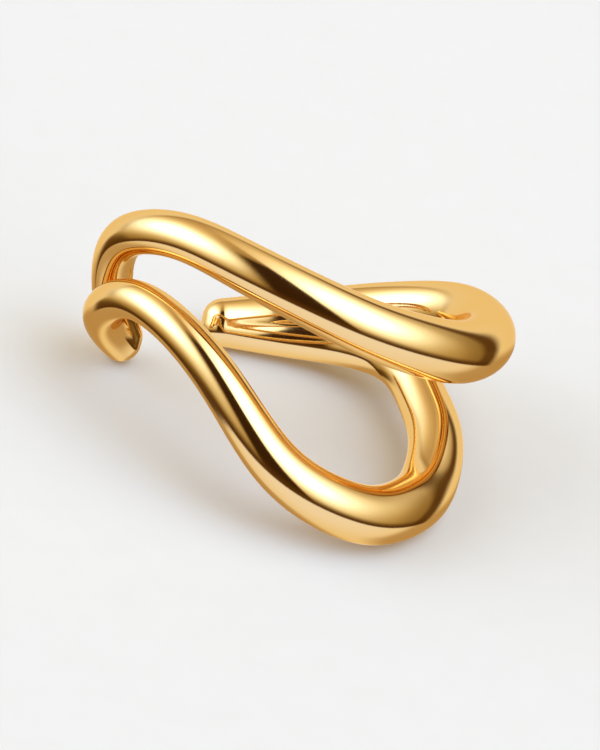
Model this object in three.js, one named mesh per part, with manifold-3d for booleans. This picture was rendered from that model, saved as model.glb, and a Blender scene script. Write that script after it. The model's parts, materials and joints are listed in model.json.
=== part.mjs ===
import * as THREE from 'three';
import { ConvexHull } from 'three/addons/math/ConvexHull.js';
import { mergeVertices } from 'three/addons/utils/BufferGeometryUtils.js';
import Module from 'manifold-3d';

// Ear cuff: two waved round wires, one above the other, run side by side round an open oval ring
// and are fused into one piece at both of its ends.
// The ring is shaped upright, round its own axis Z, with its front at -Y and its right side at +X.
// It is then turned to lie on its lower wave, where its own weight keeps it.

// Driving sizes in millimetres

// Room inside the ring where the wires are thickest
const INSIDE_WIDTH = 11.1;
const INSIDE_DEPTH = 8.2;
// Full thickness of a wire, reached near the front
const WIRE = 2.2;
// Climb of the seam that both wires follow, at its highest point
const WAVE = 2.6;
// Clear space between the two wires, at its widest point
const SPREAD = 4.2;
// Clear space between the two tips, where the rim of the ear goes in
const MOUTH = 2.7;
// Place of that opening in degrees from the right side, by way of the front
const MOUTH_TURN = 228;

// Control rows of the wires, evenly spaced from the tip at the back to the tip at the left.
// Seam, gap and the two thicknesses are shares of WAVE, SPREAD and WIRE. Merge is the share of its
// own radius by which each wire runs into the other one, and reach is the lower wire's distance from
// the ring's axis as a share of the upper wire's.
const COLUMNS = ['seam', 'gap', 'merge', 'upper', 'lower', 'reach'];
const FOLLOWS = { seam: WAVE, gap: SPREAD, upper: WIRE, lower: WIRE };
const ROW_SHARES = [
  [0.30, 0.00, 0.85, 0.68, 0.68, 1.00],
  [0.44, 0.00, 0.50, 0.73, 0.70, 1.00],
  [0.62, 0.00, 0.22, 0.79, 0.73, 1.00],
  [0.73, 0.06, 0.06, 0.85, 0.78, 0.96],
  [0.77, 0.38, 0.00, 0.91, 0.83, 0.88],
  [0.56, 0.50, 0.00, 0.96, 0.88, 0.88],
  [0.33, 0.77, 0.00, 1.00, 0.93, 0.87],
  [0.10, 0.81, 0.00, 1.03, 0.97, 0.88],
  [0.10, 0.97, 0.00, 0.99, 0.96, 0.90],
  [0.21, 1.00, 0.00, 0.92, 0.92, 0.93],
  [0.46, 0.98, 0.00, 0.87, 0.81, 0.96],
  [0.73, 0.54, 0.00, 0.82, 0.72, 0.99],
  [1.00, 0.33, 0.00, 0.77, 0.67, 1.00],
  [0.99, 0.19, 0.00, 0.71, 0.64, 1.00],
  [0.82, 0.21, 0.00, 0.68, 0.64, 1.00],
  [0.34, 0.06, 0.12, 0.67, 0.65, 1.00],
  [-0.20, 0.00, 0.85, 0.66, 0.65, 1.00],
];

// Fineness of the facets
const STEPS = 88;
const SIDES = 20;
const CAP_STEPS = 5;

// Most that the ring's axis may lean once the cuff has settled, in degrees
const SETTLE_ANGLE = 60;

const gold = new THREE.MeshStandardMaterial({ color: 0xe3b56a, roughness: 0.12, metalness: 1 });

// Smooth value of one column at a share t of the way from the first row to the last
function column(name, t) {
  const at = COLUMNS.indexOf(name);
  const spans = ROW_SHARES.length - 1;
  const span = Math.min(Math.floor(t * spans), spans - 1);
  const f = t * spans - span;
  const row = (i) => {
    if (i < 0) return 2 * ROW_SHARES[0][at] - ROW_SHARES[1][at];
    if (i > spans) return 2 * ROW_SHARES[spans][at] - ROW_SHARES[spans - 1][at];
    return ROW_SHARES[i][at];
  };
  const before = (1 - f) ** 3 * row(span - 1);
  const near = (3 * f ** 3 - 6 * f ** 2 + 4) * row(span);
  const next = (-3 * f ** 3 + 3 * f ** 2 + 3 * f + 1) * row(span + 1);
  const after = f ** 3 * row(span + 2);
  const share = (before + near + next + after) / 6;
  return name in FOLLOWS ? FOLLOWS[name] * share : share;
}

// Angles at which the two tips stand, so that the opening is clear between their round ends
function tipAngles(halfWidth, halfDepth) {
  const place = THREE.MathUtils.degToRad(MOUTH_TURN);
  const radius = Math.hypot(halfWidth * Math.sin(place), halfDepth * Math.cos(place));
  const tipThickness = (column('upper', 0) + column('upper', 1)) / 2;
  const half = (MOUTH + tipThickness) / 2 / radius;
  return [place - 2 * Math.PI + half, place - half];
}

// Centre line of the upper or the lower wire
class WireLine extends THREE.Curve {
  constructor(side) {
    super();
    this.side = side;
    this.halfWidth = (INSIDE_WIDTH + WIRE) / 2;
    this.halfDepth = (INSIDE_DEPTH + WIRE) / 2;
    [this.start, this.end] = tipAngles(this.halfWidth, this.halfDepth);
  }

  radius(t) {
    return column(this.side, t) / 2;
  }

  getPoint(t, target = new THREE.Vector3()) {
    const angle = this.start + t * (this.end - this.start);
    const reach = this.side === 'lower' ? column('reach', t) : 1;
    const x = this.halfWidth * reach * Math.cos(angle);
    const y = -this.halfDepth * reach * Math.sin(angle);
    const lift = this.radius(t) * (1 - column('merge', t));
    const offset = this.side === 'lower' ? -lift - column('gap', t) : lift;
    return target.set(x, y, column('seam', t) + offset);
  }
}

// A capsule bent along a centre line, so that the wire is closed and has round ends
function wireGeometry(line) {
  const geometry = new THREE.CapsuleGeometry(1, STEPS, CAP_STEPS, SIDES, STEPS);
  const frames = line.computeFrenetFrames(STEPS, false);
  const position = geometry.getAttribute('position');
  for (let i = 0; i < position.count; i++) {
    const along = THREE.MathUtils.clamp(position.getY(i), -STEPS / 2, STEPS / 2);
    const station = Math.round(along + STEPS / 2);
    const share = station / STEPS;
    const radius = line.radius(line.getUtoTmapping(share));
    const point = line.getPointAt(share);
    point.addScaledVector(frames.binormals[station], position.getX(i) * radius);
    point.addScaledVector(frames.tangents[station], (position.getY(i) - along) * radius);
    point.addScaledVector(frames.normals[station], position.getZ(i) * radius);
    position.setXYZ(i, point.x, point.y, point.z);
  }
  return geometry;
}

// Closed surface as a solid that can be joined to another
function solid(wasm, geometry) {
  geometry.deleteAttribute('normal');
  geometry.deleteAttribute('uv');
  const merged = mergeVertices(geometry, 1e-5);
  const index = merged.getIndex().array;
  const triVerts = [];
  for (let i = 0; i < index.length; i += 3) {
    const [a, b, c] = [index[i], index[i + 1], index[i + 2]];
    if (a !== b && b !== c && c !== a) triVerts.push(a, b, c);
  }
  return new wasm.Manifold(new wasm.Mesh({
    numProp: 3,
    vertProperties: new Float32Array(merged.getAttribute('position').array),
    triVerts: new Uint32Array(triVerts),
  }));
}

function toGeometry(manifold) {
  const mesh = manifold.getMesh();
  const geometry = new THREE.BufferGeometry();
  geometry.setAttribute('position', new THREE.BufferAttribute(mesh.vertProperties, 3));
  geometry.setIndex(new THREE.BufferAttribute(mesh.triVerts, 1));
  geometry.computeVertexNormals();
  return geometry;
}

// Centre of mass of the space inside a closed surface
function centreOfMass(geometry) {
  const position = geometry.getAttribute('position');
  const index = geometry.getIndex().array;
  const corner = (i) => new THREE.Vector3().fromBufferAttribute(position, index[i]);
  const centre = new THREE.Vector3();
  let total = 0;
  for (let i = 0; i < index.length; i += 3) {
    const [a, b, c] = [corner(i), corner(i + 1), corner(i + 2)];
    const volume = a.dot(b.clone().cross(c)) / 6;
    centre.addScaledVector(a.add(b).add(c), volume / 4);
    total += volume;
  }
  return centre.divideScalar(total);
}

// Direction in the ring's frame that points up once the cuff lies on its lower wave:
// of the flat faces round it that its weight falls inside, the one with the lowest centre of mass
function restingUp(geometry) {
  const position = geometry.getAttribute('position');
  const points = [];
  for (let i = 0; i < position.count; i++) {
    points.push(new THREE.Vector3().fromBufferAttribute(position, i));
  }
  const centre = centreOfMass(geometry);
  const leastUpright = Math.cos(THREE.MathUtils.degToRad(SETTLE_ANGLE));
  let lowest = Infinity;
  const up = new THREE.Vector3(0, 0, 1);
  for (const face of new ConvexHull().setFromPoints(points).faces) {
    if (face.normal.z > -leastUpright) continue;
    const edge = face.edge;
    const corners = [edge.prev.head().point, edge.head().point, edge.next.head().point];
    const height = -face.distanceToPoint(centre);
    const inside = new THREE.Triangle(...corners).containsPoint(centre);
    if (inside && height < lowest) {
      lowest = height;
      up.copy(face.normal).negate();
    }
  }
  return up;
}

// Turns the cuff so that it rests, keeps its width along X and stands the middle of its box on the origin
function layDown(mesh) {
  const up = restingUp(mesh.geometry);
  const back = up.clone().cross(new THREE.Vector3(1, 0, 0)).normalize();
  const right = back.clone().cross(up);
  mesh.quaternion.setFromRotationMatrix(new THREE.Matrix4().makeBasis(right, back, up).transpose());
  mesh.updateMatrixWorld(true);
  const box = new THREE.Box3().setFromObject(mesh, true);
  const middle = box.getCenter(new THREE.Vector3());
  mesh.position.set(-middle.x, -middle.y, -box.min.z);
}

const wasm = await Module();
wasm.setup();

const upperWire = solid(wasm, wireGeometry(new WireLine('upper')));
const lowerWire = solid(wasm, wireGeometry(new WireLine('lower')));
const earCuff = new THREE.Mesh(toGeometry(upperWire.add(lowerWire)), gold);
earCuff.name = 'ear_cuff';
layDown(earCuff);

const cuff = new THREE.Group();
cuff.add(earCuff);
export default cuff;
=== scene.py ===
import json
import math

import bpy
import numpy as np
from mathutils import Matrix, Vector


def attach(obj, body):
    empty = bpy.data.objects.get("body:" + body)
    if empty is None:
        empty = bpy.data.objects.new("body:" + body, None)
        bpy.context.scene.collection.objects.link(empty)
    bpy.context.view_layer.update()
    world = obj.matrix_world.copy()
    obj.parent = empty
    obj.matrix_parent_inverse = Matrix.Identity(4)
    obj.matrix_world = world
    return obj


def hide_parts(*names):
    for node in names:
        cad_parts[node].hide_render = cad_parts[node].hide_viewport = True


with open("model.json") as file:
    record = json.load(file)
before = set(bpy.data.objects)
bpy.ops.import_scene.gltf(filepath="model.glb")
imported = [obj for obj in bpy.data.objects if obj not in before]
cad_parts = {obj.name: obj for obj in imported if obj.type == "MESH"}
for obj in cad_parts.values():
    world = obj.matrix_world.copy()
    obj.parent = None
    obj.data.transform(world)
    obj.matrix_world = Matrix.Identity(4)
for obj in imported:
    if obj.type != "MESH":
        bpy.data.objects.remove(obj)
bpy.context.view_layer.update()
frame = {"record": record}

# Ear cuff: two waved round wires, one above the other, run round an open oval ring and are fused
# into one piece at both of its ends. Lengths of the wires are in millimetres, as in the model.

# Room inside the ring where the wires are thickest
INSIDE_WIDTH = 11.1
INSIDE_DEPTH = 8.2
# Full thickness of a wire, climb of the seam, widest space between the wires
WIRE = 2.2
WAVE = 2.6
SPREAD = 4.2
# Clear space between the tips, and its place in degrees from the right side
MOUTH = 2.7
MOUTH_TURN = 228

# Control rows from the tip at the back to the tip at the left, as shares of the sizes named here.
# Merge is the share of its own radius by which each wire runs into the other one, and reach is the
# lower wire's distance from the ring's axis as a share of the upper wire's.
COLUMNS = {"seam": WAVE, "gap": SPREAD, "merge": 1, "upper": WIRE, "lower": WIRE, "reach": 1}
ROWS = [
    (0.30, 0.00, 0.85, 0.68, 0.68, 1.00),
    (0.44, 0.00, 0.50, 0.73, 0.70, 1.00),
    (0.62, 0.00, 0.22, 0.79, 0.73, 1.00),
    (0.73, 0.06, 0.06, 0.85, 0.78, 0.96),
    (0.77, 0.38, 0.00, 0.91, 0.83, 0.88),
    (0.56, 0.50, 0.00, 0.96, 0.88, 0.88),
    (0.33, 0.77, 0.00, 1.00, 0.93, 0.87),
    (0.10, 0.81, 0.00, 1.03, 0.97, 0.88),
    (0.10, 0.97, 0.00, 0.99, 0.96, 0.90),
    (0.21, 1.00, 0.00, 0.92, 0.92, 0.93),
    (0.46, 0.98, 0.00, 0.87, 0.81, 0.96),
    (0.73, 0.54, 0.00, 0.82, 0.72, 0.99),
    (1.00, 0.33, 0.00, 0.77, 0.67, 1.00),
    (0.99, 0.19, 0.00, 0.71, 0.64, 1.00),
    (0.82, 0.21, 0.00, 0.68, 0.64, 1.00),
    (0.34, 0.06, 0.12, 0.67, 0.65, 1.00),
    (-0.20, 0.00, 0.85, 0.66, 0.65, 1.00),
]

# Fineness: stations along a wire, the step between those that the first rough tube is made from,
# rings in its round ends, its surface grid, and how often its points are moved onto the true skin
STATIONS = 900
ROUGH_STRIDE = 3
END_RINGS = 8
GRID = 0.085
SKIN_MOVES = 4
# Points whose nearest station is looked for at a time, which keeps the memory small
BATCH = 4000
# Fillet where the wires meet, which shrinks to almost nothing where they are merged
FILLET = 0.22
FILLET_LEFT_OVER = 0.02

# Metres in a millimetre
MM = 0.001

# Camera: distance and lens in metres and millimetres, the lean of the ring's axis to the right of
# upright, the picture's width and height at the ring in metres, and the place of the ring's centre
# in the picture, as shares of both from the upper left
CAMERA_DISTANCE = 0.35
NEAREST_SEEN = 0.01
SENSOR_HEIGHT = 24
AXIS_LEAN = math.radians(12)
PICTURE_WIDTH = 0.02105
PICTURE_HEIGHT = PICTURE_WIDTH * 750 / 600
RING_CENTRE_X = 0.478
RING_CENTRE_Y = 0.4776

# From the middle of the floor to its sides, in metres
FLOOR_HALF = 2.0

# Two ends of the colour drift in each material
GOLD_TONES = (0.845, 0.550, 0.213), (0.875, 0.585, 0.238)
FLOOR_TONES = (0.711, 0.626, 0.488), (0.731, 0.646, 0.508)

# Studio light. Each place in it is given by the slope of a surface that mirrors it to the camera
# of the picture: aside 0.5 is a slope of 30 degrees to the right, above 0.5 is one upwards, and
# facing is 1 for a surface square to the camera and 0 for one seen edge on. A pair of places is
# where a zone starts and where it is complete.

# Plain tone that the camera sees in place of the studio
BACKDROP = (0.86, 0.86, 0.86, 1)

# The room round the lights, warmer and darker below than at the ceiling
ROOM, CEILING, CEILING_STARTS = (0.42, 0.31, 0.13), (0.66, 0.53, 0.34), (0.28, 0.7)

# The two lights: strength, how fast red, green and blue fade from the middle, middle and size
LIGHT = (2.5, 3.6, 6.2)
FADE = (1.0, 1.12, 1.38)
LEFT_LIGHT, LEFT_SIZE = (-0.46, 0.29), (0.29, 0.315)
RIGHT_LIGHT, RIGHT_SIZE = (0.31, 0.21), (0.25, 0.36)

# The dark gap between them: where each slanted side of it stands and how it leans, where each
# light comes in from that side, where the gap does, and where the gap ends above
DARK = (0.045, 0.020, 0.006)
GAP_LEFT, GAP_RIGHT = (-0.15, 0.25), (0.085, -0.11)
LEFT_LIGHT_FROM, RIGHT_LIGHT_FROM = (0.02, -0.14), (-0.01, 0.04)
GAP_FROM_LEFT, GAP_FROM_RIGHT = (-0.07, 0.01), (0.03, -0.01)
GAP_BELOW = (0.45, 0.33)

# The dark outline at the edge of a wire: where it starts on the lower right side, in the lower
# left corner and at the top, how strong it is there, and its soft and its crisp part towards the
# edge. Slopes to the lower right and lower left take this share of both aside and above.
DIAGONAL = 0.7
DARK_EDGE = (0.10, 0.047, 0.010)
EDGE_SIDE, EDGE_CORNER, EDGE_STRENGTH = (-0.5, 0.05), (0.48, 0.76), 0.9
EDGE_TOP, EDGE_TOP_STRENGTH = (-0.05, 0.35), 0.4
EDGE_STRONGEST = 0.95
SOFT_EDGE, SOFT_SHARE = (0.76, 0.62), 0.4
CRISP_EDGE, CRISP_SHARE = (0.62, 0.56), 0.6

# The white room behind the cuff: where facing reaches it, and how much later it does so towards
# the lower right and in the lower left corner
WHITE_ROOM = (1.0, 0.97, 0.92)
BEHIND, BEHIND_RIGHT, BEHIND_CORNER = (0.54, 0.46), 0.05, 0.1

# The pale zone under the lights: how far below the middle its border is, which leans and is lower
# still at the far left, the dark band above the border, and where the zone becomes the white room
LOWER_ROOM = (1.04, 1.12, 1.45)
BORDER, BORDER_LEAN = 0.37, 0.08
FAR_LEFT, FAR_LEFT_DROP = (-0.55, -0.8), 0.12
DARK_BAND, PALE_ZONE, TO_WHITE_ROOM = (0.2, 0.03), (0.01, -0.03), (0.9, 0.5)

# Both rooms are dimmer at their lower right and lower left, towards the edge of a wire
DIM_ROOM = (0.58, 0.46, 0.32)
DIM_RIGHT, DIM_LEFT, DIM_EDGE = (0.66, 0.86), (0.7, 0.88), (0.64, 0.5)


# Wires


def column(name, count):
    """Smooth values of one column at evenly spaced places from the first row to the last."""
    at = list(COLUMNS).index(name)
    rows = np.array([row[at] for row in ROWS])
    rows = np.concatenate([[2 * rows[0] - rows[1]], rows, [2 * rows[-1] - rows[-2]]])
    place = np.linspace(0, len(rows) - 3, count)
    span = np.minimum(place.astype(int), len(rows) - 4)
    f = place - span
    before = (1 - f) ** 3 * rows[span]
    near = (3 * f ** 3 - 6 * f ** 2 + 4) * rows[span + 1]
    following = (-3 * f ** 3 + 3 * f ** 2 + 3 * f + 1) * rows[span + 2]
    after = f ** 3 * rows[span + 3]
    return COLUMNS[name] * (before + near + following + after) / 6


def ring_frame():
    """Turn and place of the upright ring in the model, from the record's mount in its middle."""
    mount = next(m for m in frame["record"]["mounts"] if m["name"] == "ear_rim")
    axis = Vector(mount["axis"]).normalized()
    right = Vector((axis.z, 0, -axis.x)).normalized()
    back = axis.cross(right)
    return right, back, axis, Vector(mount["pos_m"])


def wire_lines():
    """Centre line and radius of the upper and the lower wire, in millimetres in the model."""
    half_width = (INSIDE_WIDTH + WIRE) / 2
    half_depth = (INSIDE_DEPTH + WIRE) / 2
    values = {name: column(name, STATIONS) for name in COLUMNS}
    seam, gap, merge, reach = (values[name] for name in ("seam", "gap", "merge", "reach"))
    upper, lower = values["upper"] / 2, values["lower"] / 2
    place = math.radians(MOUTH_TURN)
    radius = math.hypot(half_width * math.sin(place), half_depth * math.cos(place))
    half_mouth = (MOUTH + upper[0] + upper[-1]) / 2 / radius
    turn = np.linspace(place - 2 * math.pi + half_mouth, place - half_mouth, STATIONS)
    x, y = half_width * np.cos(turn), -half_depth * np.sin(turn)
    upper_line = np.stack([x, y, seam + upper * (1 - merge)], axis=1)
    lower_line = np.stack([x * reach, y * reach, seam - lower * (1 - merge) - gap], axis=1)
    right, back, axis, centre = ring_frame()
    basis = np.array([right, back, axis])
    middle = np.array(centre) / MM
    return (upper_line @ basis + middle, upper), (lower_line @ basis + middle, lower)


def rounded(line, radius):
    """The line with short stretches of falling radius added, so that its ends are round."""
    angle = np.linspace(0, math.pi / 2, END_RINGS + 2)[1:-1]
    first = (line[0] - line[1]) / np.linalg.norm(line[0] - line[1])
    last = (line[-1] - line[-2]) / np.linalg.norm(line[-1] - line[-2])
    head = line[0] + np.outer(np.sin(angle) * radius[0], first)
    tail = line[-1] + np.outer(np.sin(angle) * radius[-1], last)
    points = np.concatenate([head[::-1], line, tail])
    radii = np.concatenate([(np.cos(angle) * radius[0])[::-1], radius, np.cos(angle) * radius[-1]])
    return points, radii


def finished_mesh(holder):
    """New mesh of an object as its curve settings or modifiers make it."""
    depsgraph = bpy.context.evaluated_depsgraph_get()
    return bpy.data.meshes.new_from_object(holder.evaluated_get(depsgraph))


def rough_mesh(wires):
    """Even quads over both wires as one body, in millimetres."""
    curve = bpy.data.curves.new("wires", "CURVE")
    curve.dimensions = "3D"
    curve.bevel_depth = 1
    curve.bevel_resolution = 6
    curve.use_fill_caps = True
    for line, radius in wires:
        points, radii = rounded(line[::ROUGH_STRIDE], radius[::ROUGH_STRIDE])
        weights = np.ones((len(points), 1))
        spline = curve.splines.new("POLY")
        spline.points.add(len(points) - 1)
        spline.points.foreach_set("co", np.append(points, weights, axis=1).ravel())
        spline.points.foreach_set("radius", radii)
    holder = bpy.data.objects.new("wires", curve)
    bpy.context.collection.objects.link(holder)
    body = bpy.data.objects.new("tubes", finished_mesh(holder))
    bpy.context.collection.objects.link(body)
    remesh = body.modifiers.new("even", "REMESH")
    remesh.mode = "VOXEL"
    remesh.voxel_size = GRID
    mesh = finished_mesh(body)
    bpy.data.objects.remove(holder)
    bpy.data.objects.remove(body)
    return mesh


def nearest_station(points, line):
    """Number of the station of a line that lies nearest to each point."""
    nearest = np.empty(len(points), dtype=int)
    for start in range(0, len(points), BATCH):
        part = points[start:start + BATCH]
        square = (line ** 2).sum(axis=1) - 2 * part @ line.T
        nearest[start:start + BATCH] = square.argmin(axis=1)
    return nearest


def wire_distance(points, line, radius, nearest):
    """Distance of each point to a wire's skin, and the direction away from the wire."""
    low = np.clip(nearest - 1, 0, len(line) - 1)
    high = np.clip(nearest + 1, 0, len(line) - 1)
    start, along = line[low], line[high] - line[low]
    share = ((points - start) * along).sum(axis=1) / (along ** 2).sum(axis=1)
    share = np.clip(share, 0, 1)
    away = points - start - along * share[:, None]
    length = np.linalg.norm(away, axis=1)
    skin = radius[low] + (radius[high] - radius[low]) * share
    return length - skin, away / length[:, None]


def settle_on_skin(points, wires):
    """Moves points onto the skin of the fused wires and returns them with the skin's direction."""
    nearest = [nearest_station(points, line) for line, _ in wires]
    fillet = FILLET * (1 + FILLET_LEFT_OVER - column("merge", STATIONS))[nearest[0]]
    for step in range(SKIN_MOVES + 1):
        (first, out_first), (second, out_second) = (
            wire_distance(points, line, radius, near)
            for (line, radius), near in zip(wires, nearest)
        )
        mix = np.clip(0.5 + 0.5 * (second - first) / fillet, 0, 1)
        distance = second + (first - second) * mix - fillet * mix * (1 - mix)
        out = out_second + (out_first - out_second) * mix[:, None]
        square = (out ** 2).sum(axis=1)
        if step < SKIN_MOVES:
            points = points - out * (distance / square)[:, None]
    return points, out / np.sqrt(square)[:, None]


def cuff_piece(material):
    """The whole cuff, smooth, in place of the model's faceted solid."""
    wires = wire_lines()
    mesh = rough_mesh(wires)
    points = np.empty(len(mesh.vertices) * 3)
    mesh.vertices.foreach_get("co", points)
    points, normals = settle_on_skin(points.reshape(-1, 3), wires)
    mesh.vertices.foreach_set("co", (points * MM).ravel())
    mesh.update()
    mesh.polygons.foreach_set("use_smooth", [True] * len(mesh.polygons))
    mesh.normals_split_custom_set_from_vertices(normals.tolist())
    mesh.materials.clear()
    mesh.materials.append(material)
    piece = bpy.data.objects.new("polished_cuff", mesh)
    bpy.context.collection.objects.link(piece)
    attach(piece, "root")
    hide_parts("ear_cuff")


# Materials


def node_maker(tree):
    """Function that adds a node with its settings, and with sockets linked or set by value."""
    def make(kind, inputs=None, **settings):
        node = tree.nodes.new(kind)
        for name, value in settings.items():
            setattr(node, name, value)
        for socket, value in (inputs or {}).items():
            if isinstance(value, bpy.types.NodeSocket):
                tree.links.new(value, node.inputs[socket])
            else:
                node.inputs[socket].default_value = value
        return node
    return make


class Finish:
    """A new material whose colour drifts between two tones, and what sets the rest of it."""

    def __init__(self, name, tones, scale, detail):
        self.material = bpy.data.materials.new(name)
        self.material.use_nodes = True
        self.tree = self.material.node_tree
        self.make = node_maker(self.tree)
        self.shader = self.tree.nodes["Principled BSDF"]
        self.place = self.make("ShaderNodeTexCoord").outputs["Object"]
        drift = self.noise(scale, detail)
        tone = self.make("ShaderNodeMix", {"Factor": drift}, data_type="RGBA")
        for socket, colour in zip("AB", tones):
            tone.inputs[socket].default_value = (*colour, 1)
        self.link("Base Color", tone.outputs["Result"])

    def noise(self, scale, detail):
        """Noise with so many ups and downs in a metre, as a value from 0 to 1."""
        inputs = {"Vector": self.place, "Scale": scale, "Detail": detail}
        return self.make("ShaderNodeTexNoise", inputs).outputs["Fac"]

    def link(self, socket, output):
        self.tree.links.new(output, self.shader.inputs[socket])

    def set(self, socket, value):
        self.shader.inputs[socket].default_value = value


def gold_material():
    """Polished gold. Its alloy's colour drifts slowly."""
    gold = Finish("polished_gold", GOLD_TONES, scale=160, detail=3)
    # Haze of the polishing wheel
    haze = gold.noise(scale=900, detail=5)
    rough = gold.make("ShaderNodeMapRange", {"Value": haze, "To Min": 0.07, "To Max": 0.12})
    gold.link("Roughness", rough.outputs["Result"])
    # A very soft hand-finished ripple, and fine polishing marks on it
    ripple = {"Height": gold.noise(scale=420, detail=1), "Strength": 0.06, "Distance": 0.00004}
    soft = gold.make("ShaderNodeBump", ripple)
    marks = {"Height": gold.noise(scale=9000, detail=2), "Strength": 0.03, "Distance": 0.00001}
    fine = gold.make("ShaderNodeBump", {**marks, "Normal": soft.outputs["Normal"]})
    gold.link("Normal", fine.outputs["Normal"])
    gold.set("Metallic", 1)
    gold.set("Specular Tint", (0.95, 0.78, 0.5, 1))
    return gold.material


def floor_material():
    """Pale matt floor with a faint grain and no gloss."""
    floor = Finish("pale_floor", FLOOR_TONES, scale=700, detail=3)
    floor.set("Roughness", 0.75)
    floor.set("Specular IOR Level", 0)
    return floor.material


# Stage


def floor_piece(material):
    """Plain floor. It isn't mirrored in the metal, because the picture has no floor near the cuff:
    the studio's pale zone under the lights is mirrored in its place."""
    mesh = bpy.data.meshes.new("floor")
    signs = ((-1, -1), (1, -1), (1, 1), (-1, 1))
    corners = [(x * FLOOR_HALF, y * FLOOR_HALF, 0) for x, y in signs]
    mesh.from_pydata(corners, [], [(0, 1, 2, 3)])
    mesh.materials.append(material)
    floor = bpy.data.objects.new("floor", mesh)
    bpy.context.collection.objects.link(floor)
    floor.visible_glossy = False


def camera_axes():
    """Right, up and towards-the-camera directions of the picture, and the ring's centre."""
    ring_right, ring_back, ring_axis, centre = ring_frame()
    right = ring_right * math.cos(AXIS_LEAN) + ring_axis * math.sin(AXIS_LEAN)
    up = ring_axis * math.cos(AXIS_LEAN) - ring_right * math.sin(AXIS_LEAN)
    return right, up, -ring_back, centre


def add_camera():
    right, up, towards, centre = camera_axes()
    aim = centre + right * (0.5 - RING_CENTRE_X) * PICTURE_WIDTH
    aim = aim + up * (RING_CENTRE_Y - 0.5) * PICTURE_HEIGHT
    data = bpy.data.cameras.new("camera")
    data.sensor_fit = "VERTICAL"
    data.sensor_height = SENSOR_HEIGHT
    data.lens = SENSOR_HEIGHT * CAMERA_DISTANCE / PICTURE_HEIGHT
    data.clip_start = NEAREST_SEEN
    camera = bpy.data.objects.new("camera", data)
    turn = Matrix((right, up, towards)).transposed().to_4x4()
    camera.matrix_world = Matrix.Translation(aim + towards * CAMERA_DISTANCE) @ turn
    bpy.context.collection.objects.link(camera)
    bpy.context.scene.camera = camera


class Studio:
    """Node tree of the world, with its places as slopes: aside, above and facing."""

    def __init__(self, right, up, towards):
        world = bpy.data.worlds.new("studio")
        bpy.context.scene.world = world
        world.use_nodes = True
        self.tree = world.node_tree
        self.tree.nodes.clear()
        self.make = node_maker(self.tree)
        direction = self.make("ShaderNodeTexCoord").outputs["Generated"]
        halfway = self.vector("NORMALIZE", self.vector("ADD", direction, tuple(towards)))
        self.aside, self.above, self.facing = (
            self.vector("DOT_PRODUCT", halfway, tuple(axis), output="Value")
            for axis in (right, up, towards)
        )

    def vector(self, kind, first, second=(0, 0, 0), output="Vector"):
        node = self.make("ShaderNodeVectorMath", {0: first, 1: second}, operation=kind)
        return node.outputs[output]

    def calc(self, kind, first, second=0.0):
        return self.make("ShaderNodeMath", {0: first, 1: second}, operation=kind).outputs[0]

    def add(self, first, second):
        return self.calc("ADD", first, second)

    def less(self, first, second):
        return self.calc("SUBTRACT", first, second)

    def times(self, first, second):
        return self.calc("MULTIPLY", first, second)

    def ramp(self, value, places):
        """Smooth step from 0 where the value is at the first place to 1 at the second."""
        inputs = {"Value": value, "From Min": places[0], "From Max": places[1]}
        step = self.make("ShaderNodeMapRange", inputs, interpolation_type="SMOOTHSTEP")
        return step.outputs["Result"]

    def right_of(self, side):
        """How far a slope lies to the right of a slanted line."""
        middle, lean = side
        return self.less(self.less(self.aside, middle), self.times(self.above, lean))

    def glow(self, middle, size, within):
        """Light that is bright in the middle, and fades smoothly and warms to all sides."""
        across = self.calc("DIVIDE", self.less(self.aside, middle[0]), size[0])
        upward = self.calc("DIVIDE", self.less(self.above, middle[1]), size[1])
        square = self.add(self.times(across, across), self.times(upward, upward))
        falls = [self.calc("EXPONENT", self.times(square, -fade)) for fade in FADE]
        colour = self.make("ShaderNodeCombineXYZ", dict(enumerate(falls))).outputs[0]
        strength = self.vector("MULTIPLY", within, (1, 1, 1))
        return self.vector("MULTIPLY", self.vector("MULTIPLY", colour, LIGHT), strength)

    def mixed(self, first, second, factor):
        mix = self.make("ShaderNodeMix", {"Factor": factor}, data_type="RGBA")
        for socket, colour in (("A", first), ("B", second)):
            if isinstance(colour, tuple):
                mix.inputs[socket].default_value = (*colour, 1)
            else:
                self.tree.links.new(colour, mix.inputs[socket])
        return mix.outputs["Result"]

    def show(self, colour):
        """Lights the scene with a colour, while the camera itself sees the plain backdrop."""
        light = self.make("ShaderNodeBackground", {"Color": colour}).outputs[0]
        plain = self.make("ShaderNodeBackground", {"Color": BACKDROP}).outputs[0]
        seen = self.make("ShaderNodeLightPath").outputs["Is Camera Ray"]
        shown = self.make("ShaderNodeMixShader", {0: seen, 1: light, 2: plain}).outputs[0]
        self.make("ShaderNodeOutputWorld", {"Surface": shown})


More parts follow.
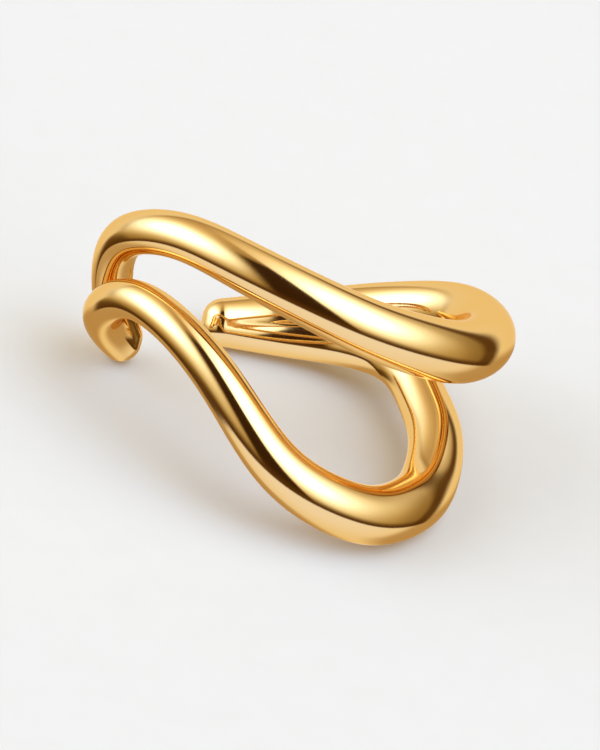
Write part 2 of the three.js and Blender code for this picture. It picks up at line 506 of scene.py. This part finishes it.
def add_world():
    """Studio of the picture: two soft lights with a dark gap between them on the camera's side, a
    pale zone under them, and a white room behind the cuff. Dark bands part these and give each
    wire its outline, and the pale zone and the white room are dimmer at their lower corners."""
    right, up, towards, _ = camera_axes()
    studio = Studio(right, up, towards)
    add, less, times = studio.add, studio.less, studio.times
    ramp, mixed = studio.ramp, studio.mixed
    aside, above, facing = studio.aside, studio.above, studio.facing

    # The two lights and the gap
    past_left, past_right = studio.right_of(GAP_LEFT), studio.right_of(GAP_RIGHT)
    left_light = studio.glow(LEFT_LIGHT, LEFT_SIZE, ramp(past_left, LEFT_LIGHT_FROM))
    right_light = studio.glow(RIGHT_LIGHT, RIGHT_SIZE, ramp(past_right, RIGHT_LIGHT_FROM))
    gap = times(ramp(past_left, GAP_FROM_LEFT), ramp(past_right, GAP_FROM_RIGHT))
    gap = times(gap, ramp(above, GAP_BELOW))

    # The outline, and the white room past it
    lower_right = less(times(aside, DIAGONAL), times(above, DIAGONAL))
    lower_left = less(times(aside, -DIAGONAL), times(above, DIAGONAL))
    corner = ramp(lower_left, EDGE_CORNER)
    side = studio.calc("MAXIMUM", ramp(lower_right, EDGE_SIDE), corner)
    top = times(ramp(above, EDGE_TOP), EDGE_TOP_STRENGTH)
    edge = studio.calc("MINIMUM", add(top, times(side, EDGE_STRENGTH)), EDGE_STRONGEST)
    soft = times(ramp(facing, SOFT_EDGE), SOFT_SHARE)
    crisp = times(ramp(facing, CRISP_EDGE), CRISP_SHARE)
    edge = times(edge, add(soft, crisp))
    rim = add(facing, times(lower_right, BEHIND_RIGHT))
    behind = ramp(add(rim, times(corner, BEHIND_CORNER)), BEHIND)

    # The pale zone
    low = add(add(above, BORDER), times(aside, BORDER_LEAN))
    low = add(low, times(ramp(aside, FAR_LEFT), FAR_LEFT_DROP))
    dim = studio.calc("MAXIMUM", ramp(lower_right, DIM_RIGHT), ramp(lower_left, DIM_LEFT))
    dim = times(dim, ramp(facing, DIM_EDGE))
    lower_room = mixed(LOWER_ROOM, WHITE_ROOM, ramp(facing, TO_WHITE_ROOM))

    # Each zone is laid over those before it
    colour = mixed(ROOM, CEILING, ramp(above, CEILING_STARTS))
    colour = studio.vector("ADD", studio.vector("ADD", colour, left_light), right_light)
    colour = mixed(colour, DARK, gap)
    colour = mixed(colour, DARK_EDGE, edge)
    colour = mixed(colour, DARK_EDGE, ramp(low, DARK_BAND))
    colour = mixed(colour, mixed(lower_room, DIM_ROOM, dim), ramp(low, PALE_ZONE))
    colour = mixed(colour, mixed(WHITE_ROOM, DIM_ROOM, dim), behind)
    studio.show(colour)


cuff_piece(gold_material())
floor_piece(floor_material())
add_camera()
add_world()
bpy.context.scene.view_settings.view_transform = "Standard"
